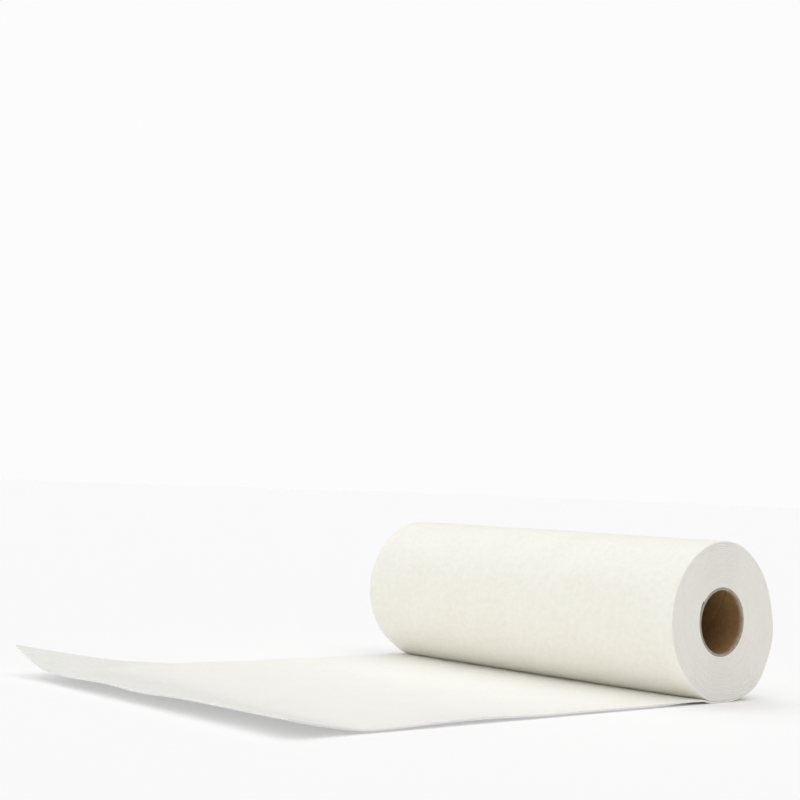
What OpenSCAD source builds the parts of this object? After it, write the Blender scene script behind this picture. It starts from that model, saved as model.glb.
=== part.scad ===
/* [Roll] */
// Length of the roll, which is also the width of the towel web
roll_l = 285; // [120:1:400]
// Outside radius of the wound roll
roll_r = 48.5; // [38:0.5:80]
// Depth of the flat spot that the roll's weight presses into its underside
flat_d = 0.1; // [0.02:0.01:0.12]

/* [Towel web] */
// Thickness of the nonwoven web
web_t = 1; // [0.5:0.05:1.2]
// Least air between one turn and the next
air_gap = 0.3; // [0.15:0.01:0.5]
// Web that lies unrolled, from under the roll's axis to the cut end
tail_l = 326; // [180:1:600]

/* [Core] */
// Radius of the hole through the cardboard core
core_bore_r = 19.6; // [15:0.1:24]
// Thickness of the core's wall
core_wall = 1.5; // [0.8:0.1:3]
// Clearance between the core and the first turn
wrap_gap = 0.1; // [0.05:0.05:0.3]

/* [Lifted end of the tail] */
// Distance from the cut end at which the near edge leaves the table
lift_near_l = 54; // [20:1:160]
// Distance from the cut end at which the far edge leaves the table
lift_far_l = 126; // [20:1:160]
// Height of the near corner above the table
near_h = 9.2; // [0:0.1:30]
// Height of the far corner above the table, before its own curl
far_h = 5.3; // [0:0.1:30]
// Further rise of the far corner as it curls
corner_h = 12; // [0:0.1:30]
// Reach of the far corner's curl along the far edge
corner_edge_l = 121; // [40:1:160]
// Reach of the far corner's curl along the cut end
corner_end_l = 45; // [20:1:100]

/* [Hidden] */

// How sharply the end and the corner bend up: 1 is a straight ramp, 2 an even curl
end_bend = 1.6;
corner_bend = 1.5;

// The web's first turn lies on the core, and each turn then adds one pitch.
core_r = core_bore_r + core_wall;
wound_t = roll_r - core_r - wrap_gap - web_t;
turns = floor(wound_t / (web_t + air_gap) + 1/2);
pitch = wound_t / (turns - 1/2);

// The spiral is drawn with two centres. The halves in front of the axis are
// centred on the core, and the halves behind it half a pitch lower, so that
// each half meets the next one face to face.
back_z = -pitch / 2;
floor_z = back_z - roll_r + flat_d;

// The lifted end is a grid of points. Its columns crowd towards the far
// corner, where the bend is tightest.
end_l = max(lift_near_l, lift_far_l, corner_edge_l);
rows = 14;
cols = 16;
crowding = 1.5;

$fn = 48;

function mix(a, b, part) = a + (b - a) * part;

function column_w(j) = roll_l * (1 - pow(1 - j / cols, crowding));

// Height of the web's underside above the table, at a distance from the cut
// end and a distance across the web from its near edge
function lift(from_end, across) =
    let (share = across / roll_l,
         reach = mix(lift_near_l, lift_far_l, share),
         ramp = max(0, 1 - from_end / reach),
         curl = max(0, 1 - from_end / corner_edge_l - (roll_l - across) / corner_end_l))
    mix(near_h, far_h, share) * pow(ramp, end_bend) + corner_h * pow(curl, corner_bend);

// Half of one turn of the web, of outer radius r: behind the axis, or in front
module half_turn(r, in_front) {
    rotate([0, 90, 0])
        rotate([0, 0, in_front ? 180 : 0])
            rotate_extrude(angle = 180)
                translate([r - web_t, -roll_l / 2])
                    square([web_t, roll_l]);
}

module wound_web() {
    for (turn = [0 : turns - 1]) {
        translate([0, 0, back_z])
            half_turn(roll_r - turn * pitch, false);
        half_turn(roll_r - (turn + 1/2) * pitch, true);
    }
}

// The roll, cut flat where it rests on the table
module wound_roll() {
    difference() {
        wound_web();
        translate([-roll_l, -roll_r, floor_z - roll_r])
            cube([2 * roll_l, 2 * roll_r, roll_r]);
    }
}

// The part of the tail that lies flat
module flat_tail() {
    translate([-roll_l / 2, end_l - tail_l, floor_z])
        cube([roll_l, tail_l - end_l, web_t]);
}

// The last stretch of the tail, which keeps some of the roll's curl
module lifted_end() {
    underside = [
        for (i = [0 : rows], j = [0 : cols])
            let (from_end = end_l * (1 - i / rows), across = column_w(j))
            [roll_l / 2 - across, from_end - tail_l, floor_z + lift(from_end, across)]
    ];
    top = [for (p = underside) p + [0, 0, web_t]];
    count = len(underside);
    line = cols + 1;
    skins = [
        for (i = [0 : rows - 1], j = [0 : cols - 1])
            let (a = i * line + j, b = a + 1, c = a + line, d = c + 1)
            each [[a, b, c], [b, d, c],
                  [count + a, count + c, count + b], [count + b, count + c, count + d]]
    ];
    ends = [
        for (j = [0 : cols - 1], i = [0, rows])
            let (a = i * line + j, b = a + 1)
            i == 0 ? [b, a, count + a, count + b] : [a, b, count + b, count + a]
    ];
    edges = [
        for (i = [0 : rows - 1], j = [0, cols])
            let (a = i * line + j, b = a + line)
            j == 0 ? [a, b, count + b, count + a] : [b, a, count + a, count + b]
    ];
    polyhedron(concat(underside, top), concat(skins, ends, edges));
}

// One web: the turns on the core, and the length that has been unrolled
module towel() {
    color("#f3f2ec")
        union() {
            wound_roll();
            flat_tail();
            lifted_end();
        }
}

// The cardboard tube that the web is wound on
module core_tube() {
    color("#a98b68")
        rotate([0, 90, 0])
            difference() {
                cylinder(h = roll_l, r = core_r, center = true, $fn = 96);
                cylinder(h = roll_l + 2, r = core_bore_r, center = true, $fn = 96);
            }
}

towel();
core_tube();
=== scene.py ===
# %% [markdown]
# # A roll of thick kitchen towel
# A reusable kitchen towel is a felt-like nonwoven web, wound on a paperboard core. This
# one lies on its side with one length unrolled, and its cut end keeps some of the roll's
# curl. The packed part is loaded first, as a fixed frame in metres: +X runs along the
# roll's axis, the towel unrolls towards -Y, and +Z is up. Then two pieces are built over
# it, the web and the core.

# %% Load the packed part
import math

import bpy
import numpy as np
from mathutils import Matrix, Vector


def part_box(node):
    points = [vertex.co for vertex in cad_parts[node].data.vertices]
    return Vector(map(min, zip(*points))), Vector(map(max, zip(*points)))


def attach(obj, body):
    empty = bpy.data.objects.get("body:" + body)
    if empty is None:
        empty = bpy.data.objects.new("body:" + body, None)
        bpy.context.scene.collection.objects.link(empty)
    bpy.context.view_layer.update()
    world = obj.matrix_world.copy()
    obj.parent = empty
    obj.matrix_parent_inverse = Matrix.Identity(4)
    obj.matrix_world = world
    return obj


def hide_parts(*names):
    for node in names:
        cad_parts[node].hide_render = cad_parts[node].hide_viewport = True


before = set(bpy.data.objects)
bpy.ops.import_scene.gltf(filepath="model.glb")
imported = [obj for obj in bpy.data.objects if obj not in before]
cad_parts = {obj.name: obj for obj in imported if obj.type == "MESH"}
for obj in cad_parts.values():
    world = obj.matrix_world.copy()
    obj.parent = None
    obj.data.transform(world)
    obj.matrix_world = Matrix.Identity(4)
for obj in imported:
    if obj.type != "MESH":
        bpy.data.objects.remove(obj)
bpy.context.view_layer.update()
print("nodes:", sorted(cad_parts))

# %% [markdown]
# ## Sizes
# The packed part gives the sizes that both models share: the floor that the roll lies
# on, the roll's length, the unrolled length, and the core's length and radius. The
# core's wall and the number of turns repeat the source's own values. The web is a
# quarter of a millimetre thicker than in the source, because soft felt swells wherever
# nothing presses on it. A millimetre gets a name, because most of what follows is easier
# to read in millimetres.

# %% The roll's sizes
MM = 0.001
web_low, web_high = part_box("towel")
core_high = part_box("core_tube")[1]
floor_z = web_low.z
roll_l = web_high.x - web_low.x
tail_l = -web_low.y
core_r = core_high.z
core_wall = 1.5 * MM
web_t = 1.25 * MM
turns = 20
print("floor %.2f mm, length %.1f mm, tail %.1f mm" % (floor_z / MM, roll_l / MM, tail_l / MM))

# %% [markdown]
# ## Camera
# The picture was taken from just above the table, with a long lens that looks up a little
# and is turned by two degrees. These numbers come from fitting the outlines of the roll,
# the core and the unrolled sheet. The three angles turn the camera in the order in which
# a photographer would: first to the side, then up, then round the line of sight.

# %% The camera
SENSOR_MM, PICTURE_PIXELS, FOCAL_PIXELS = 36.0, 800, 1650
NEAREST, FARTHEST = 0.05, 100
camera_at = Vector((0.78911, -0.80757, 0.07639))
yaw, look_up, roll_turn = 49.946, 2.948, 2.136

lens = bpy.data.cameras.new("camera")
lens.sensor_width = SENSOR_MM
lens.lens = FOCAL_PIXELS / PICTURE_PIXELS * SENSOR_MM
lens.clip_start, lens.clip_end = NEAREST, FARTHEST
camera = bpy.data.objects.new("camera", lens)
camera.location = camera_at
camera.rotation_mode = "QUATERNION"
camera.rotation_quaternion = (
    Matrix.Rotation(math.radians(yaw), 3, "Z")
    @ Matrix.Rotation(math.radians(90 + look_up), 3, "X")
    @ Matrix.Rotation(math.radians(roll_turn), 3, "Z")
).to_quaternion()
bpy.context.scene.collection.objects.link(camera)
bpy.context.scene.camera = camera
print("lens %.1f mm, %.0f mm above the floor" % (lens.lens, (camera_at.z - floor_z) / MM))

# %% [markdown]
# ## Node trees as sums
# Shader maths is easier to read as a sum than as a chain of boxes. This class wraps one
# socket. Python's own operators add the Math nodes, and `node` adds any other kind: it
# takes the node's type, then its settings, then the values or links of its sockets. A
# socket goes by its name, or by its number where a node has several of one name. The Mix
# node is such a one: inputs 6 and 7 are its two colours, and output 2 is the mixed one.

# %% A socket that can be used in a sum
def join(value, socket):
    """Links a wire to the socket, or sets a plain number or colour on it."""
    if isinstance(value, Wire):
        value.tree.links.new(value.socket, socket)
    else:
        socket.default_value = value


class Wire:
    """One output socket of a node tree."""

    def __init__(self, tree, socket=None):
        self.tree, self.socket = tree, socket

    def node(self, kind, settings=None, inputs=None, output=0):
        """Any node, from its type, its settings and the values or links of its sockets."""
        made = self.tree.nodes.new(kind)
        for name, value in (settings or {}).items():
            setattr(made, name, value)
        for name, value in (inputs or {}).items():
            join(value, made.inputs[name])
        return Wire(self.tree, made.outputs[output])

    def maths(self, operation, *values):
        """A Math node on these values."""
        return self.node("ShaderNodeMath", {"operation": operation}, dict(enumerate(values)))

    def __add__(self, other):
        return self.maths("ADD", self, other)

    def __sub__(self, other):
        return self.maths("SUBTRACT", self, other)

    def __rsub__(self, other):
        return self.maths("SUBTRACT", other, self)

    def __mul__(self, other):
        return self.maths("MULTIPLY", self, other)

    def __pow__(self, other):
        return self.maths("POWER", self, other)

    __radd__ = __add__
    __rmul__ = __mul__

    def either(self, other):
        """The larger of the two, which on masks means one or the other."""
        return self.maths("MAXIMUM", self, other)

    def between(self, low, high):
        """0 below low, 1 above high, and a smooth step from one to the other."""
        return self.node("ShaderNodeMapRange", {"interpolation_type": "SMOOTHSTEP"},
                         {"Value": self, "From Min": low, "From Max": high})

    def blend(self, first, second):
        """The first colour where this is 0, and the second where it is 1."""
        return self.node("ShaderNodeMix", {"data_type": "RGBA"}, {0: self, 6: first, 7: second}, 2)


print("a wire has %d methods" % sum(callable(method) for method in vars(Wire).values()))

# %% [markdown]
# ## What every finish needs
# Felt and board are both made of fibres, so both finishes are built from soft noise. A
# few short functions make the noise, read the numbers that a mesh carries on its corners,
# and start a new finish. `feed` sets the sockets of the Principled shader by name. What
# is the same all over the surface stays a plain number there. The felt is started here.

# %% Helpers for finishes
def stretched(wire, scale):
    """A vector, stretched differently along each axis."""
    return wire.node("ShaderNodeVectorMath", {"operation": "MULTIPLY"}, {0: wire, 1: scale})


def cloudy(wire, place, scale, detail=2.0, roughness=0.5):
    """Soft noise from 0 to 1, with this many clouds in a metre."""
    return wire.node("ShaderNodeTexNoise", None,
                     {"Vector": place, "Scale": scale, "Detail": detail, "Roughness": roughness})


def mesh_number(wire, name):
    """A number that the mesh carries on its corners."""
    return wire.node("ShaderNodeAttribute", {"attribute_name": name}, None, "Fac")


def new_finish(name):
    """An empty material with its Principled shader joined to the output."""
    finish = bpy.data.materials.new(name)
    finish.use_nodes = True
    tree = finish.node_tree
    tree.nodes.clear()
    shader = tree.nodes.new("ShaderNodeBsdfPrincipled")
    output = tree.nodes.new("ShaderNodeOutputMaterial")
    tree.links.new(shader.outputs[0], output.inputs["Surface"])
    return finish, Wire(tree), shader


def feed(shader, **sockets):
    """Gives the shader's own sockets their wires, numbers and colours."""
    for name, value in sockets.items():
        join(value, shader.inputs[name.replace("_", " ")])


felt, wire, shader = new_finish("towel_felt")
print("the felt's shader has %d sockets" % len(shader.inputs))

# %% [markdown]
# ## The web's fibres
# The web is a soft mat of fibres, without thread or weave. From close by it is a tangle
# of fine fibres that run mostly along the web, and from a step away it is a faintly
# mottled off-white. So there are four kinds of noise: fibres along the web and across
# it, which are stretched, soft tufts a few millimetres wide, and faint patches. The mesh
# carries two coordinates for them, the distance along the web and across it, so the
# fibres turn with the web on the roll.

# %% Fibres and tufts
ALONG_WEB, ACROSS_WEB = (0.35, 1.0, 1.0), (1.0, 0.5, 1.0)
FIBRE_SCALE, CROSS_SCALE, TUFT_SCALE, PATCH_SCALE = 1500, 900, 260, 34
web_place = wire.node("ShaderNodeCombineXYZ", None,
                      {"X": mesh_number(wire, "along"), "Y": mesh_number(wire, "across")})
fibres = cloudy(wire, stretched(web_place, ALONG_WEB), FIBRE_SCALE, 3.0, 0.6)
cross_fibres = cloudy(wire, stretched(web_place, ACROSS_WEB), CROSS_SCALE, 3.0, 0.6)
tufts = cloudy(wire, web_place, TUFT_SCALE, 3.0, 0.55)
patches = cloudy(wire, web_place, PATCH_SCALE)
print("nodes for the fibres:", len(felt.node_tree.nodes))

# %% [markdown]
# ## The web's finish
# The felt is matt, with a very faint sheen from its loose fibres. Three masks on the
# mesh change its colour. Cut edges are a little greyer than the faces. One layer of the
# web is painted whiter and cooler than the stack on the roll. That is partly real, since
# the tint of a stack adds up, and partly a painted reflection: the roll keeps a warmer
# tint for the warm light reflected onto it. Where one layer lifts off the table its
# colour is painted darker. That is a painted shade for the light that a thin layer lets
# through from the white table close behind it.

# %% Felt
CREAM, PALE = (0.935, 0.917, 0.828, 1), (0.98, 0.970, 0.898, 1)
CUT_EDGE = (0.95, 0.924, 0.872, 1)
# The first tint whitens one layer, partly for real and partly as a painted reflection; the second is
# a painted shade for a lifted layer.
ONE_LAYER_AND_REFLECTION_TINT, LIFTED_PAINTED_SHADE = (1.01, 1.014, 1.055), (0.925, 0.93, 0.935)
FELT_BUMP, FELT_RELIEF = 0.55, 0.5 * MM
cut, backed, stacked = (mesh_number(wire, name) for name in ("cut", "backed", "stacked"))
mottle = (tufts * 0.5 + fibres * 0.3 + patches * 0.2).between(0.36, 0.64)
colour = cut.blend(mottle.blend(CREAM, PALE), CUT_EDGE)
# Partly a painted reflection: one layer whiter and cooler, the roll's stack warmer.
colour = stacked.blend(stretched(colour, ONE_LAYER_AND_REFLECTION_TINT), colour)
# Painted shade: the layer is darker where it lifts off the table.
colour = backed.blend(stretched(colour, LIFTED_PAINTED_SHADE), colour)
height = fibres * 0.10 + cross_fibres * 0.10 + tufts * 0.45
bump = wire.node("ShaderNodeBump", None,
                 {"Strength": FELT_BUMP, "Distance": FELT_RELIEF, "Height": height})
feed(shader, Base_Color=colour, Roughness=0.95, Sheen_Weight=0.12,
     Sheen_Roughness=0.6, Specular_IOR_Level=0.15, Normal=bump)
print("nodes for the felt:", len(felt.node_tree.nodes))

# %% [markdown]
# ## The core's finish
# The core is brown paperboard: recycled fibre with darker and lighter specks. Its cut rim
# is paler and greyer than its faces, because the knife leaves the raw middle of the
# board. The mesh says where the rim is. The bump is pulp, on the scale of the fibre.

# %% Paperboard
BROWN, LIGHT_BROWN = (0.288, 0.166, 0.066, 1), (0.375, 0.227, 0.096, 1)
SPECK = (0.13, 0.078, 0.036, 1)
RAW, LIGHT_RAW = (0.36, 0.32, 0.25, 1), (0.50, 0.455, 0.37, 1)
PULP_SCALE, SPECK_SCALE, SHADE_SCALE = 420, 1300, 45
BOARD_BUMP, BOARD_RELIEF = 0.4, 0.2 * MM
board, wire, shader = new_finish("core_paperboard")
place = wire.node("ShaderNodeTexCoord", None, None, "Object")
pulp = cloudy(wire, place, PULP_SCALE, 4.0, 0.65)
specks = cloudy(wire, place, SPECK_SCALE).between(0.60, 0.72)
shade = cloudy(wire, place, SHADE_SCALE)
brown = (pulp * 0.6 + shade * 0.4).between(0.3, 0.7).blend(BROWN, LIGHT_BROWN)
brown = (specks * 0.6).blend(brown, SPECK)
raw = pulp.between(0.3, 0.7).blend(RAW, LIGHT_RAW)
grain = wire.node("ShaderNodeBump", None,
                  {"Strength": BOARD_BUMP, "Distance": BOARD_RELIEF, "Height": pulp})
feed(shader, Base_Color=mesh_number(wire, "rim").blend(brown, raw), Roughness=0.85,
     Specular_IOR_Level=0.1, Normal=grain)
print("nodes for the paperboard:", len(board.node_tree.nodes))

# %% [markdown]
# ## The roll's outline
# A soft roll is never quite round. This one has sagged: it bulges low at the back, where
# the web comes off the table, and is a little flatter in front. A formula keeps such a
# shape smooth, so the outline is a circle with three harmonics and three low bulges, all
# read from the roll's end. The angle starts straight down and goes up the back. Each
# harmonic has a cosine and a sine part in millimetres. Each bulge has the angle of its
# middle, its spread in degrees and its height.

# %% The outline, free of the table
FULL = 360
CIRCLE = 49.08 * MM
HARMONICS = ((-0.10, 1.99), (0.47, 1.08), (-0.46, 0.47))
BULGES = ((348, 13, 1.8 * MM), (78, 15, 1.4 * MM), (42, 14, 1.8 * MM))


def bell(value, middle, spread):
    """1 at the middle, falling smoothly to 0 on both sides."""
    return np.exp(-((value - middle) / spread) ** 2)


def free_outline(angle):
    """Distance from the axis to the outside of the roll, before the table flattens it."""
    distance = CIRCLE
    for middle, spread, bulge_h in BULGES:
        from_middle = (angle - middle + FULL / 2) % FULL - FULL / 2
        distance = distance + bulge_h * bell(from_middle, 0, spread)
    for times, (cosine, sine) in enumerate(HARMONICS, 1):
        turned = np.radians(times * angle)
        distance = distance + MM * (cosine * np.cos(turned) + sine * np.sin(turned))
    return distance


OUTLINE_STEP = 0.5
steps = np.arange(0, FULL, OUTLINE_STEP)
free = free_outline(steps)
print("free outline %.2f to %.2f mm from the axis" % (free.min() / MM, free.max() / MM))

# %% [markdown]
# ## The outline at rest
# The table cuts the free outline off, which gives the flat spot that every roll has. Felt
# doesn't bend sharply, so the corners of that cut are smoothed with a short running mean
# round the ring. The smoothed points no longer lie at even angles, so they are sorted by
# their own angle before the outline is looked up between them.

# %% The outline on the table
SMOOTH_REACH, SMOOTH_SPREAD = 8, 4.0
outline_y = free * np.sin(np.radians(steps))
outline_z = np.maximum(-free * np.cos(np.radians(steps)), floor_z)
kernel = bell(np.arange(-SMOOTH_REACH, SMOOTH_REACH + 1), 0, SMOOTH_SPREAD)
kernel = kernel / kernel.sum()
ring = np.concatenate([outline_z[-SMOOTH_REACH:], outline_z, outline_z[:SMOOTH_REACH]])
outline_z = np.maximum(np.convolve(ring, kernel, "valid"), floor_z)
seen_angle = np.degrees(np.arctan2(outline_y, -outline_z)) % FULL
by_angle = np.argsort(seen_angle)
outline_angle = seen_angle[by_angle]
outline_r = np.hypot(outline_y, outline_z)[by_angle]


def outside(angle):
    """Distance from the axis to the outside of the roll that rests on the table."""
    return np.interp(angle % FULL, outline_angle, outline_r, period=FULL)


print("roll %.1f mm wide, %.1f mm high" % (np.ptp(outline_y) / MM, np.ptp(outline_z) / MM))

# %% [markdown]
# ## The web's path on the roll
# The web is one strip. From the table it goes up the back of the roll and round it,
# almost twenty times, until it reaches the core. On every ray from the axis the turns
# share the space between the core and the outline, so they nest without touching, even
# where the roll bulges. A soft web fills that space, so its turns show on the end as
# faint lines and not as gaps. In the first 40 degrees it swells until it fills the space.
# On the core it ends in a step, 0.35 of a turn short of twenty turns. Only the few turns
# over that step feel it, and a finger's width on the web lies on the core again.

# %% The spiral
WRAP_GAP, TURN_GAP = 0.1 * MM, 0.05 * MM
START_SHORT = 0.35
STEP_CLOSES, STEP_FELT = 0.09, 5
SWOLLEN_BY = 40
wound_from = core_r + WRAP_GAP
turned_in_all = turns - START_SHORT


def spacing(angle):
    """Distance from one turn to the next, on the ray at this angle."""
    return (outside(angle) - wound_from + TURN_GAP) / (turned_in_all + 1)


def spiral(angle):
    """The web's outer and inner distance from the axis, this many degrees from the table."""
    left = turned_in_all - angle / FULL
    layers_below, past_step = left // 1, left % 1
    pulled = spacing(angle) * past_step * np.clip((1 - past_step) / STEP_CLOSES, 0, 1)
    outer = outside(angle) - spacing(angle) * angle / FULL
    swollen = np.clip(angle / SWOLLEN_BY, 0, 1)
    inner = outer - web_t - (spacing(angle) - TURN_GAP - web_t) * swollen
    return (outer - pulled * max(0, 1 - (layers_below + 1) / STEP_FELT),
            inner - pulled * max(0, 1 - layers_below / STEP_FELT))


print("turn spacing %.2f to %.2f mm" % tuple(f(spacing(steps)) / MM for f in (np.min, np.max)))

# %% [markdown]
# ## The lifted end
# The unrolled length lies flat, apart from its last stretch, which keeps some of the
# roll's curl. Its near corner and its far corner lift by different heights over different
# lengths, and the far corner curls once more. The source has a formula for that. It is
# repeated here with the same names and values, so both models have one shape.

# %% The lifted end
lift_near_l, lift_far_l = 54 * MM, 126 * MM
near_h, far_h, corner_h = 9.2 * MM, 5.3 * MM, 12 * MM
corner_edge_l, corner_end_l = 121 * MM, 45 * MM
end_bend, corner_bend = 1.6, 1.5


def lift(from_end, from_near):
    """Height of the web's underside, as in the source."""
    share = from_near / roll_l
    reach = lift_near_l + (lift_far_l - lift_near_l) * share
    ramp = np.maximum(0, 1 - from_end / reach)
    curl = np.maximum(0, 1 - from_end / corner_edge_l - (roll_l - from_near) / corner_end_l)
    return (near_h + (far_h - near_h) * share) * ramp ** end_bend + corner_h * curl ** corner_bend


print("far corner of the source: %.1f mm up" % (lift(0, roll_l) / MM))

# %% [markdown]
# ## What real cloth adds
# Cloth never lies as flat as a formula. It has slow waves no higher than half a
# millimetre, a dip or two in the lifted edge, and long edges that stand a millimetre or
# two off the table. The waves are a sum of sines in different directions, which is smooth
# and doesn't repeat over the length of the web. Dips and rises are bells, each with the
# place of its middle, its spread and its height. The near edge stands off most, and the
# far edge half as much.

# %% Waves, dips and standing edges
WAVES = ((61, 23, 0.4, 1), (-37, 71, 2.1, 1), (113, -47, 4.0, 0.7), (29, 139, 1.2, 0.5))
WAVE_H, WAVES_FADE = 0.45 * MM, 40 * MM
DIPS = ((140 * MM, 22 * MM, 1.1 * MM), (215 * MM, 16 * MM, 0.5 * MM))
DIPS_REACH = 45 * MM
EDGE_H, END_SHARE, EDGE_FADES = 0.75 * MM, 0.3, 25 * MM
EDGE_RISES = ((118 * MM, 42 * MM, 1.2 * MM), (298 * MM, 22 * MM, 0.8 * MM))
NEAR_EDGE_W, FAR_EDGE_W, FAR_EDGE_SHARE = 35 * MM, 30 * MM, 0.5


def waves(u, v):
    """Slow unevenness from 0 to 1, without a repeat over the object's length."""
    swell = sum(wave_h * np.sin(a * u + b * v + start) for a, b, start, wave_h in WAVES)
    highest = sum(wave_h for *_, wave_h in WAVES)
    return np.clip(0.5 + swell / (2 * highest), 0, 1)


def edge_stand(from_end):
    """How far the near edge stands off the table."""
    rise = EDGE_H
    for middle, spread, rise_h in EDGE_RISES:
        rise = rise + rise_h * bell(from_end, middle, spread)
    return rise * np.clip(from_end / EDGE_FADES, END_SHARE, 1)


def settle(from_end, from_near):
    """What the cloth adds to the source's formula, above the table."""
    in_front = np.clip((tail_l - from_end) / WAVES_FADE, 0, 1)
    dips = sum(dip_h * bell(from_near, middle, spread) for middle, spread, dip_h in DIPS)
    dips = dips * np.clip(1 - from_end / DIPS_REACH, 0, 1) ** 2
    near_edge = np.exp(-from_near / NEAR_EDGE_W)
    far_edge = FAR_EDGE_SHARE * np.exp(-(roll_l - from_near) / FAR_EDGE_W)
    return (WAVE_H * waves(from_end, from_near) * in_front - dips
            + edge_stand(from_end) * (near_edge + far_edge))


first_rise = EDGE_RISES[0][0]
print("near edge: %.1f mm up, %.0f mm from the end" % (edge_stand(first_rise) / MM, first_rise / MM))

# %% [markdown]
# ## Under the roll
# The roll presses its own web flat. So close to the roll the web is kept in the room
# between the table and the turn above it, and both corners of the end rise freely.

# %% The underside of the unrolled web
PRESSED_FROM, LEAST_ROOM = 60 * MM, 0.1 * MM


def under_roll(from_end):
    """Room for the underside of the web between the table and the turn above it."""
    ray = FULL + math.degrees(math.atan2(from_end - tail_l, -floor_z))
    turn_above = -math.cos(math.radians(ray)) * float(spiral(ray)[0])
    return max(turn_above - floor_z - web_t - LEAST_ROOM, 0.0)


def underside(from_end, from_near):
    """Height of the underside of the unrolled web above the table."""
    lies = np.maximum(lift(from_end, from_near) + settle(from_end, from_near), 0)
    return lies if from_end < tail_l - PRESSED_FROM else np.minimum(lies, under_roll(from_end))


print("corners %.1f and %.1f mm up" % (underside(0.0, 0.0) / MM, underside(0.0, roll_l) / MM))

# %% [markdown]
# ## The web's columns
# The strip is built from cross-sections, each one a closed loop: the outer skin, the far
# edge, the inner skin and the near edge. Columns of corners run along the whole web. They
# crowd at the edges, where the felt is rounded. The two halves share their middle column,
# so the distances are rounded to a tenth of a micrometre and the second one is dropped.
# The turns inside the roll show only their edges, so most of their columns are left out,
# which keeps the mesh small.

# %% Columns
FINE_SPACES = 110
near_columns = np.array([0.36, 0.9, 2.0, 4.0]) * MM
edge_zone = near_columns[-1]
fine_columns = np.linspace(edge_zone, roll_l - edge_zone, FINE_SPACES + 1)[1:-1]
few_columns = np.array([40]) * MM


def mirrored(columns):
    """The same columns from both edges of the web."""
    return np.concatenate([columns, roll_l - columns[::-1]])


near_part = np.concatenate([near_columns, fine_columns[fine_columns <= roll_l / 2]])
fine = np.unique(np.round(mirrored(near_part), 7))
kept = [int(np.argmin(abs(fine - column)))
        for column in mirrored(np.concatenate([near_columns, few_columns]))]
few = fine[kept]
print("columns: %d fine, %d inside the roll" % (len(fine), len(few)))

# %% [markdown]
# ## One cross-section
# Felt is soft and a knife presses it down, so the web's long edges are rounded. The table
# of the round gives each corner's distance from the edge in millimetres, and its depth as
# a share of the thickness. Its first and last corner are already columns of the skins.

# %% One cross-section
EDGE_ROUND = ((0.36, 0.0), (0.12, 0.10), (0.0, 0.32), (0.0, 0.68), (0.12, 0.90), (0.36, 1.0))
EDGE_CORNERS = len(EDGE_ROUND) - 2


def section(columns):
    """Distances from the near edge and depths below the outer skin, round the loop."""
    edge_from, edge_depth = np.array(EDGE_ROUND)[1:-1].T
    count = len(columns)
    loop_from = [columns, roll_l - edge_from * MM, columns[::-1], edge_from * MM]
    loop_depth = [np.zeros(count), edge_depth, np.ones(count), edge_depth[::-1]]
    return np.concatenate(loop_from), np.concatenate(loop_depth)


fine_loop, few_loop = section(fine), section(few)
print("corners round the web: %d and %d" % (len(fine_loop[0]), len(few_loop[0])))

# %% [markdown]
# ## Where the edges run
# A web wanders a little to the side as it winds, as on any real roll. The outer turns'
# edges are drawn in, which rounds the roll's rim, and the wound edges are pressed crisp by
# their neighbours. All three are shifts of a fraction of a millimetre along the axis. They
# go by the turns that are already wound, and are eased in over part of a turn.

# %% Along the axis
WANDERS, WANDER_OFFSET = ((0.10 * MM, 2.1, 0), (0.06 * MM, 5.3, 1)), 0.06 * MM
DRAWN_IN, DRAWN_TURNS, DRAWN_EASE = 0.3 * MM, 1.5, 0.25
CRISP_WITHIN, CRISP_SHARE, CRISP_EASE = 0.4 * MM, 0.55, 0.3


def sideways(near_from, turned):
    """Place along the axis of a point this far from the near edge."""
    wander = sum(wide * math.sin(rate * turned + start) for wide, rate, start in WANDERS)
    near_roll = min(max(1 + turned / DRAWN_EASE, 0), 1)
    drawn_in = DRAWN_IN * math.exp(-max(turned, 0) / DRAWN_TURNS) * near_roll
    to_edge = np.minimum(near_from, roll_l - near_from)
    wound = min(max(turned / CRISP_EASE, 0), 1)
    crisp = np.where(to_edge < CRISP_WITHIN, to_edge, 0) * CRISP_SHARE * wound
    towards_middle = (crisp - drawn_in) * (1 - 2 * near_from / roll_l)
    return roll_l / 2 - near_from + wander - WANDER_OFFSET + towards_middle


print("near edge at %.2f mm after one turn" % (float(sideways(np.array([0.0]), 1)[0]) / MM))

# %% [markdown]
# ## Rows of the web
# Each row of the strip is a cross-section put in its place. On the table the skins are
# heights, and on the roll they are distances along a ray. The cut end is rounded over its
# last half millimetre, as the long edges are. On the roll the outer skin swells in slow
# waves, and it has a low shoulder near the rim that fades from turn to turn. The first
# half turn still lies on the table at its start, so its inner skin stays a web's
# thickness above the table there.

# %% One row of the web
END_ROUND, END_THIN = 0.5 * MM, 0.35
SWELL_H, SWELL_FADES = 0.5 * MM, 0.25
SHOULDER_H, SHOULDER_W, SHOULDER_FADES = 0.45 * MM, 3.5 * MM, 0.3
START_ANGLE = 30


def table_row(from_end, loop):
    """A cross-section on the table."""
    near_from, depth = loop
    rounding = np.clip(from_end / END_ROUND, 0, 1)
    thick = web_t * (END_THIN + (1 - END_THIN) * math.sqrt(rounding * (2 - rounding)))
    low = floor_z + underside(from_end, near_from) + (web_t - thick) / 2
    x = sideways(near_from, (from_end - tail_l) / (math.tau * CIRCLE))
    return np.stack([x, np.full_like(x, from_end - tail_l), low + thick * depth], 1)


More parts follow.
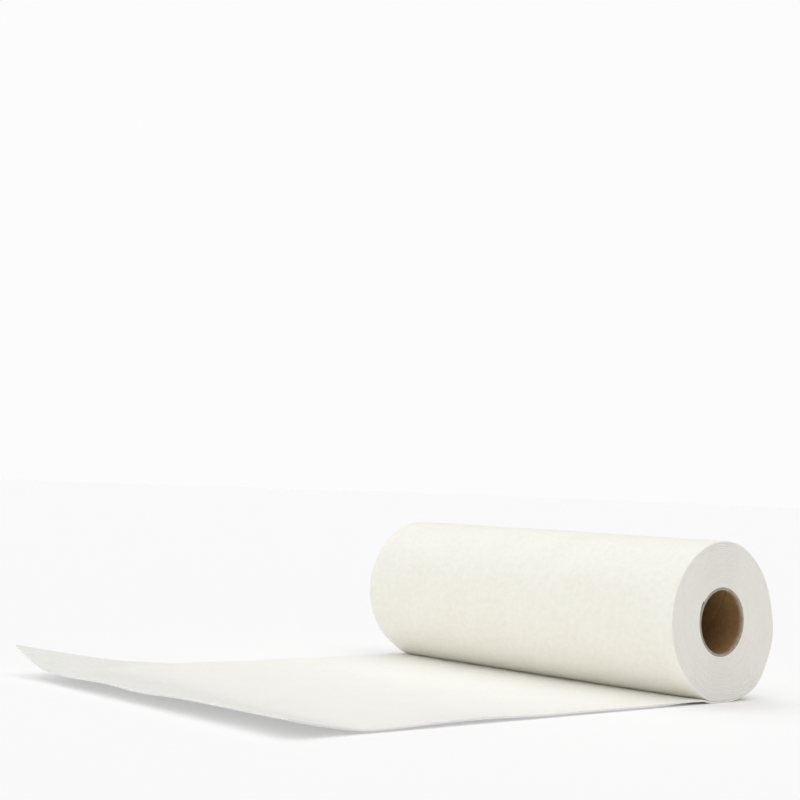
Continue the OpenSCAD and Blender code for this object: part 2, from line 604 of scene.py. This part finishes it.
def roll_row(angle, loop):
    """A cross-section on the roll, this many degrees from the table."""
    near_from, depth = loop
    outer, inner = (float(r) for r in spiral(angle))
    turned, ray = angle / FULL, math.radians(angle)
    to_edge = np.minimum(near_from, roll_l - near_from)
    start, last = min(angle / START_ANGLE, 1), max(1 - turned, 0)
    along = tail_l + turned * math.tau * CIRCLE
    swell = SWELL_H * waves(along, near_from) * start * min(last / SWELL_FADES, 1)
    near_rim = np.clip(1 - to_edge / SHOULDER_W, 0, 1) ** 2
    shoulder = SHOULDER_H * near_rim * start * SHOULDER_FADES ** turned
    far = outer + (inner - outer) * depth + (swell - shoulder) * (1 - depth)
    lowest = floor_z + depth * web_t * (turned < 0.5)
    z = np.maximum(-far * math.cos(ray), lowest)
    return np.stack([sideways(near_from, turned), far * math.sin(ray), z], 1)


print("top of the roll: %.2f mm above the axis" % (roll_row(180, fine_loop)[:, 2].max() / MM))

# %% [markdown]
# ## From the cut end to the core
# The rows start at the cut end, with a few close together for its round, run to the line
# under the roll's axis, and go on round the roll. Rows are 2.5 mm apart on the table. On
# the roll they are a few degrees apart, and a little farther inside it, where the last
# one lies exactly at the web's end on the core.

# %% All rows of the web
TABLE_STEP, TURN_STEP, INNER_STEP = 2.5 * MM, 3.6, 5.0
even_rows = np.linspace(0, tail_l, round(tail_l / TABLE_STEP) + 1)[:-1]
from_ends = sorted(list(even_rows) + [0.12 * MM, 0.3 * MM, 0.5 * MM, 1.2 * MM])
outer_angles = np.arange(0, FULL, TURN_STEP)
last_angle = FULL * turned_in_all
inner_angles = list(np.arange(FULL, last_angle - INNER_STEP / 2, INNER_STEP)) + [last_angle]

outer_rows = [table_row(from_end, fine_loop) for from_end in from_ends]
outer_rows += [roll_row(angle, fine_loop) for angle in outer_angles]
inner_rows = [roll_row(angle, few_loop) for angle in inner_angles]
print("rows: %d outside, %d inside the roll" % (len(outer_rows), len(inner_rows)))

# %% [markdown]
# ## Faces of the web
# A belt of faces joins each row to the next, all the way round the loop. The two ends of
# the strip need a cap: faces between the skins, and one face of many corners for each
# rounded edge. On a loop the far edge's corners follow the outer skin, then comes the
# inner skin, which runs backwards, and the near edge's corners close the loop.

# %% Belts and caps
def inner_at(column, count):
    """Number on the loop of a column of the inner skin, where a skin has count columns."""
    return 2 * count + EDGE_CORNERS - 1 - column


def belt(start, rows, size):
    """Faces round a run of cross-sections of one size."""
    made = []
    for row in range(start, start + (rows - 1) * size, size):
        made += [(row + k, row + (k + 1) % size, row + size + (k + 1) % size, row + size + k)
                 for k in range(size)]
    return made


def cap(start, count, flip):
    """Faces across one end of the strip, where a skin has count columns."""
    made = [(k, k + 1, inner_at(k + 1, count), inner_at(k, count)) for k in range(count - 1)]
    made.append(tuple(range(count - 1, inner_at(count - 1, count) + 1)))
    made.append(tuple(range(inner_at(0, count), 2 * (count + EDGE_CORNERS))) + (0,))
    made = [tuple(start + k for k in face) for face in made]
    return [face[::-1] for face in made] if flip else made


size, few_size = len(fine_loop[0]), len(few_loop[0])
corners = np.concatenate(outer_rows + inner_rows)
inner_start = len(outer_rows) * size
faces = belt(0, len(outer_rows), size) + belt(inner_start, len(inner_rows), few_size)
print("belts: %d faces" % len(faces))

# %% [markdown]
# ## Where the two grids meet
# The fine grid of the outer turn ends under the roll, where nothing shows, and the grid
# of the inner turns starts there. Each face between them has two corners on the side of
# the few columns, and on the other side all the fine corners between the same two
# columns. So no edge stays open there, and with a cap on both ends of the strip the web
# is one closed surface.

# %% The joint between the grids
edge_at = list(range(EDGE_CORNERS))
fine_at = kept + [len(fine) + k for k in edge_at]
fine_at += [inner_at(column, len(fine)) for column in kept[::-1]]
fine_at += [2 * len(fine) + EDGE_CORNERS + k for k in edge_at]
last_start = inner_start - size
for k in range(few_size):
    here, there = fine_at[k], fine_at[(k + 1) % few_size]
    span = range(here, there + 1 if there > here else size + there + 1)
    faces.append(tuple(last_start + corner % size for corner in span)
                 + (inner_start + (k + 1) % few_size, inner_start + k))
faces += cap(0, len(fine), True) + cap(len(corners) - few_size, len(few), False)
print("web: %d corners, %d faces" % (len(corners), len(faces)))

# %% [markdown]
# ## Making a piece
# Blender makes a mesh from lists of corners and faces. Both pieces are made in the same
# way: smooth-shaded, with one finish, and with numbers on their corners that the finish
# reads by name.

# %% Make a piece
def make_piece(name, corners, faces, finish, **values):
    """A smooth-shaded mesh object with a finish and named numbers on every corner."""
    mesh = bpy.data.meshes.new(name)
    mesh.from_pydata([tuple(map(float, corner)) for corner in corners], [], faces)
    mesh.validate()
    for label, numbers in values.items():
        attribute = mesh.attributes.new(label, "FLOAT", "POINT")
        attribute.data.foreach_set("value", np.asarray(numbers, np.float32))
    mesh.polygons.foreach_set("use_smooth", [True] * len(mesh.polygons))
    mesh.materials.append(finish)
    mesh.update()
    piece = bpy.data.objects.new(name, mesh)
    bpy.context.scene.collection.objects.link(piece)
    print("%s: %d triangles" % (name, sum(len(p.vertices) - 2 for p in mesh.polygons)))
    return piece


print("meshes so far, all from the packed part:", len(bpy.data.meshes))

# %% [markdown]
# ## The web's numbers
# Every corner gets its place on the flat web, along it and across it. Along the roll that
# is an angle times a radius, and inside the roll the mean radius is close enough for the
# fibres. Then come the three masks of the felt: the cut edges, how near the table lies
# behind a single layer, which sets the painted shade on the lifted end, and where the web
# is part of the roll's stack, which keeps the roll's warmer tint, partly real and partly
# a painted reflection.

# %% The web
# Painted shade on a lifted layer: none below 2 mm over the table, all of it above 4.5 mm.
NO_PAINTED_SHADE_BELOW, FULL_PAINTED_SHADE_ABOVE = 2 * MM, 4.5 * MM
STACK_AND_REFLECTION_FADES = 25 * MM


def on_every_row(fine_values, few_values):
    """Values round one cross-section, repeated on all rows outside and inside the roll."""
    return np.concatenate([np.tile(fine_values, len(outer_rows)),
                           np.tile(few_values, len(inner_rows))])


mean_r = (CIRCLE + core_r) / 2
outer_along = from_ends + [tail_l + math.radians(angle) * CIRCLE for angle in outer_angles]
inner_along = tail_l + math.tau * CIRCLE + np.radians(np.array(inner_angles) - FULL) * mean_r
along_web = np.concatenate([np.repeat(outer_along, size), np.repeat(inner_along, few_size)])
across_web = on_every_row(fine_loop[0], few_loop[0])
cut_web = on_every_row(*(np.isin(loop[1], (0, 1), invert=True) for loop in (fine_loop, few_loop)))
height_web = corners[:, 2] - floor_z
height_web[len(from_ends) * size:] = 0
# Painted shade mask: 1 close to the table, 0 where the layer lifts off it.
backed_web = np.clip((FULL_PAINTED_SHADE_ABOVE - height_web) / (FULL_PAINTED_SHADE_ABOVE - NO_PAINTED_SHADE_BELOW), 0, 1)
# Where the roll's warmer tint applies, partly real and partly a painted reflection.
stacked_web = np.clip((along_web - tail_l) / STACK_AND_REFLECTION_FADES + 1, 0, 1)
towel_web = make_piece("towel_web", corners, faces, felt, along=along_web, across=across_web,
                       cut=cut_web, backed=backed_web, stacked=stacked_web)

# %% [markdown]
# ## The core
# The tube is wound from strips of board, so a fine open seam runs round its inside in a
# helix. The grid of the tube's mesh follows that helix, which keeps the seam sharp with
# few faces. The seam is half a millimetre wide on either side of its middle, and has two
# extra corners there on each side.

# %% Rings of the core
SEAM_RISE, SEAM_DEPTH, SEAM_HALF = 96 * MM, 0.28 * MM, 0.5 * MM
EVEN_CORNERS, SEAM_CORNERS = 96, [0.8, 1.5, 358.5, 359.2]
even_corners = np.linspace(0, FULL, EVEN_CORNERS + 1)[:-1]
around = np.sort(np.concatenate([even_corners, SEAM_CORNERS]))
core_bore_r = core_r - core_wall


def core_ring(x, r, seam=0.0):
    """One ring of the tube, turned as far as the helix has climbed at x."""
    turned = np.radians(around + FULL * x / SEAM_RISE)
    from_seam = np.minimum(around, FULL - around) * math.tau / FULL * core_bore_r
    far = r + seam * np.clip(1 - from_seam / SEAM_HALF, 0, 1) ** 0.5
    return np.stack([np.full(len(around), x), far * np.sin(turned), -far * np.cos(turned)], 1)


print("bore of the core: %.1f mm across" % (2 * core_bore_r / MM))

# %% [markdown]
# ## The core's rim
# A saw or a knife leaves the rim slightly rounded and rough, and the plies of the board
# show on it as faint steps. The table of the rim gives each ring's place across the wall,
# from the bore to the outside, and how far it lies back in millimetres.

# %% The rim
RIM = ((0.0, 0.22), (0.06, 0.06), (0.28, 0.0), (0.36, 0.07), (0.48, 0.01), (0.66, 0.02),
       (0.74, 0.08), (0.82, 0.02), (0.94, 0.07), (1.0, 0.24))
RIM_ROUGH, ROUGH_RATE, RIM_BACK = 0.04 * MM, 2.7, 0.04 * MM


def rim_rings(end):
    """Rings across the rim, from the bore to the outside, at the end that points this way."""
    rough = RIM_ROUGH * np.sin(np.arange(len(around)) * ROUGH_RATE)
    made = []
    for part, inset in RIM:
        loop = core_ring(end * (core_high.x - inset * MM), core_bore_r + part * core_wall)
        loop[:, 0] += end * math.sin(math.pi * part) * (rough - RIM_BACK)
        made.append(loop)
    return made


print("rings on a rim:", len(rim_rings(1)))

# %% [markdown]
# ## The whole tube
# The rings go out along the bore, over one rim, back along the outside and over the other
# rim, so the last ring joins the first and the tube is closed. A number on each corner
# tells the finish which rings are on a rim.

# %% The core
RINGS_ALONG = 97
inside_x = np.linspace(-core_high.x, core_high.x, RINGS_ALONG)[1:-1]
rings = [core_ring(x, core_bore_r, SEAM_DEPTH) for x in inside_x] + rim_rings(1)
rings += [core_ring(x, core_r) for x in inside_x[::-1]] + rim_rings(-1)[::-1]
is_rim = ([0] * len(inside_x) + [1] * len(RIM)) * 2
per_ring = len(around)
core_faces = []
for number in range(len(rings)):
    here, there = number * per_ring, (number + 1) % len(rings) * per_ring
    core_faces += [(here + k, there + k, there + (k + 1) % per_ring, here + (k + 1) % per_ring)
                   for k in range(per_ring)]
core_piece = make_piece("core_paperboard_tube", np.concatenate(rings), core_faces, board,
                        rim=np.repeat(is_rim, per_ring))

# %% [markdown]
# ## The table's finish
# A product picture is bright, and its white table is close to plain white, with pale
# shadows. So the camera sees the table's own light mixed with white. Other rays see only
# the table, and the light that falls on the roll doesn't change. Light Path tells them
# apart, and its glossy and transmission rays see what the camera sees. Close to the
# line on which the roll lies there is no white in the mix, so the thin shadow where it
# touches the table stays dark.

# %% The table's finish
TABLE_WHITE, WHITE = (0.985, 0.985, 0.985, 1), (1, 1, 1, 1)
SHADOW_FILL, UNDER_ROLL, CLEAR_OF_ROLL = 0.45, 12 * MM, 60 * MM


def seen_rays(wire):
    """1 for rays that show the surroundings themselves, and 0 for rays that only light."""
    rays = [wire.node("ShaderNodeLightPath", None, None, name)
            for name in ("Is Camera Ray", "Is Glossy Ray", "Is Transmission Ray")]
    return rays[0].either(rays[1]).either(rays[2])


table_finish, wire, shader = new_finish("white_table")
feed(shader, Base_Color=TABLE_WHITE, Roughness=0.9, Specular_IOR_Level=0.1)
place = wire.node("ShaderNodeTexCoord", None, None, "Object")
x, y = (wire.node("ShaderNodeSeparateXYZ", None, {"Vector": place}, axis) for axis in "XY")
past_end = (x.maths("ABSOLUTE", x) - roll_l / 2).either(0)
from_roll = (past_end * past_end + y * y) ** 0.5
fill = seen_rays(wire) * from_roll.between(UNDER_ROLL, CLEAR_OF_ROLL) * SHADOW_FILL
white = wire.node("ShaderNodeEmission", None, {"Color": WHITE, "Strength": 1.0})
table_own = Wire(table_finish.node_tree, shader.outputs[0])
mixed = wire.node("ShaderNodeMixShader", None, {0: fill, 1: table_own, 2: white})
output = next(node for node in table_finish.node_tree.nodes if node.type == "OUTPUT_MATERIAL")
join(mixed, output.inputs["Surface"])
print("nodes for the table:", len(table_finish.node_tree.nodes))

# %% [markdown]
# ## The table
# The table is one flat square, at the height of the packed part's floor. It is so large
# that its far edge comes close to the horizon, where it meets the white behind it. It
# belongs to the picture and not to the part.

# %% The table
TABLE_HALF = 20
table_corners = [(right * TABLE_HALF, back * TABLE_HALF, floor_z)
                 for right, back in ((-1, -1), (1, -1), (1, 1), (-1, 1))]
table_mesh = bpy.data.meshes.new("table")
table_mesh.from_pydata(table_corners, [], [(0, 1, 2, 3)])
table_mesh.materials.append(table_finish)
table = bpy.data.objects.new("table", table_mesh)
bpy.context.scene.collection.objects.link(table)
print("table: %d m square" % (2 * TABLE_HALF))

# %% [markdown]
# ## The room and a white card
# The light is that of a product picture. A white card stands low in front. Its light
# comes in almost level, so it reaches far into the gap under the roll and hardly touches
# the table. The room adds a little from every side. Both are in the world's colour, which
# has no edge and casts no shadow of its own. Where the camera looks past the table it
# sees white.

# %% The room's light
ROOM_LIGHT, CARD_LIGHT, BACKDROP_WHITE = 0.185, 2.2, 0.975
CARD_FADES_UP, CARD_FADES_BACK = (0.05, 0.20), (-0.5, 0.3)
room = bpy.data.worlds.new("room")
room.use_nodes = True
room.node_tree.nodes.clear()
wire = Wire(room.node_tree)
direction = wire.node("ShaderNodeTexCoord", None, None, "Generated")
to_back, upwards = (wire.node("ShaderNodeSeparateXYZ", None, {"Vector": direction}, axis)
                    for axis in "YZ")
card = (1 - upwards.between(*CARD_FADES_UP)) * (1 - to_back.between(*CARD_FADES_BACK))
strength = card * CARD_LIGHT + ROOM_LIGHT
light = wire.node("ShaderNodeBackground", None, {"Color": WHITE, "Strength": strength})
white = wire.node("ShaderNodeBackground", None, {"Color": WHITE, "Strength": BACKDROP_WHITE})
world = wire.node("ShaderNodeMixShader", None, {0: seen_rays(wire), 1: light, 2: white})
output = room.node_tree.nodes.new("ShaderNodeOutputWorld")
join(world, output.inputs["Surface"])
bpy.context.scene.world = room
print("nodes for the room:", len(room.node_tree.nodes))

# %% [markdown]
# ## The soft box
# A very wide soft box hangs above, almost straight over the roll, so shadows are short
# and soft. It is a sun lamp with a large angle, because a sun lights the whole table
# evenly, and an area lamp would leave a bright spot.

# %% The soft box
SOFT_BOX_LIGHT, SOFT_BOX_WIDTH, SOFT_BOX_LEAN = 2.25, 98, 4
soft_box = bpy.data.lights.new("soft_box", "SUN")
soft_box.energy, soft_box.angle = SOFT_BOX_LIGHT, math.radians(SOFT_BOX_WIDTH)
lamp = bpy.data.objects.new("soft_box", soft_box)
lamp.rotation_mode = "QUATERNION"
lamp.rotation_quaternion = Matrix.Rotation(math.radians(SOFT_BOX_LEAN), 3, "X").to_quaternion()
bpy.context.scene.collection.objects.link(lamp)
bpy.context.scene.view_settings.view_transform = "Standard"
print("soft box: %.2f, %d degrees wide" % (soft_box.energy, SOFT_BOX_WIDTH))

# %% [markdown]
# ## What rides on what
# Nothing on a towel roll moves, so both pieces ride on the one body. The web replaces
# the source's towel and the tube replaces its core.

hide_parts("towel")
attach(towel_web, "root")
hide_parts("core_tube")
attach(core_piece, "root")

# %% [markdown]
